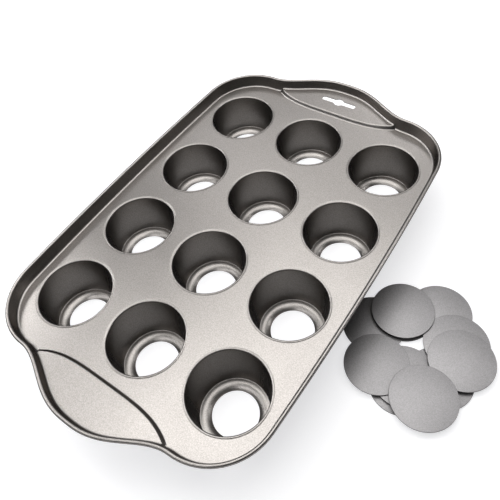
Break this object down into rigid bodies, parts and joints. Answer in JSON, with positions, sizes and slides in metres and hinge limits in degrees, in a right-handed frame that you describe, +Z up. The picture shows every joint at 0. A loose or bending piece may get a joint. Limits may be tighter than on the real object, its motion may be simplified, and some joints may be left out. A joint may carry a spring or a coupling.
{
  "type": "mini cheesecake pan",
  "caption": "Oblong non-stick pan with deep round cups open at the foot, a rolled rim, a shelf handle at each end, a hanging slot and loose flat round bases lying beside it.",
  "frame": {"origin": "on the table, under the middle of the box round the pan and its bases", "axes": "+Z up, +Y along the rows of cups towards the handle with the hanging slot, +X across the pan towards the bases"},
  "size_m": [0.3146, 0.3592, 0.0479],
  "materials": {
    "pan_coating": "semi-gloss warm grey non-stick coating on sheet steel",
    "disc_coating": "satin cool grey non-stick coating on sheet steel"
  },
  "bodies": {
    "pan": {"pan_frame": "pan_coating", "cup_01": "pan_coating", "cup_02": "pan_coating", "cup_03": "pan_coating", "cup_04": "pan_coating", "cup_05": "pan_coating", "cup_06": "pan_coating", "cup_07": "pan_coating", "cup_08": "pan_coating", "cup_09": "pan_coating", "cup_10": "pan_coating", "cup_11": "pan_coating", "cup_12": "pan_coating"},
    "base_01": {"base_disc_01": "disc_coating"},
    "base_02": {"base_disc_02": "disc_coating"},
    "base_03": {"base_disc_03": "disc_coating"},
    "base_04": {"base_disc_04": "disc_coating"},
    "base_05": {"base_disc_05": "disc_coating"},
    "base_06": {"base_disc_06": "disc_coating"},
    "base_07": {"base_disc_07": "disc_coating"},
    "base_08": {"base_disc_08": "disc_coating"},
    "base_09": {"base_disc_09": "disc_coating"},
    "base_10": {"base_disc_10": "disc_coating"},
    "base_11": {"base_disc_11": "disc_coating"},
    "base_12": {"base_disc_12": "disc_coating"}
  },
  "joints": [
    {"name": "base_01_lift", "type": "slide", "parent": "pan", "child": "base_01", "axis": [0, 0, 1], "range_m": [0, 0.031]},
    {"name": "base_02_lift", "type": "slide", "parent": "base_01", "child": "base_02", "axis": [0, 0, 1], "range_m": [0, 0.031]},
    {"name": "base_03_lift", "type": "slide", "parent": "base_02", "child": "base_03", "axis": [0, 0, 1], "range_m": [0, 0.031]},
    {"name": "base_04_lift", "type": "slide", "parent": "base_03", "child": "base_04", "axis": [0, 0, 1], "range_m": [0, 0.031]},
    {"name": "base_05_lift", "type": "slide", "parent": "base_04", "child": "base_05", "axis": [0, 0, 1], "range_m": [0, 0.031]},
    {"name": "base_06_lift", "type": "slide", "parent": "base_05", "child": "base_06", "axis": [0, 0, 1], "range_m": [0, 0.031]},
    {"name": "base_07_lift", "type": "slide", "parent": "base_06", "child": "base_07", "axis": [0, 0, 1], "range_m": [0, 0.031]},
    {"name": "base_08_lift", "type": "slide", "parent": "base_07", "child": "base_08", "axis": [0, 0, 1], "range_m": [0, 0.031]},
    {"name": "base_09_lift", "type": "slide", "parent": "base_08", "child": "base_09", "axis": [0, 0, 1], "range_m": [0, 0.031]},
    {"name": "base_10_lift", "type": "slide", "parent": "base_09", "child": "base_10", "axis": [0, 0, 1], "range_m": [0, 0.031]},
    {"name": "base_11_lift", "type": "slide", "parent": "base_10", "child": "base_11", "axis": [0, 0, 1], "range_m": [0, 0.031]},
    {"name": "base_12_lift", "type": "slide", "parent": "base_11", "child": "base_12", "axis": [0, 0, 1], "range_m": [0, 0.031]}
  ]
}
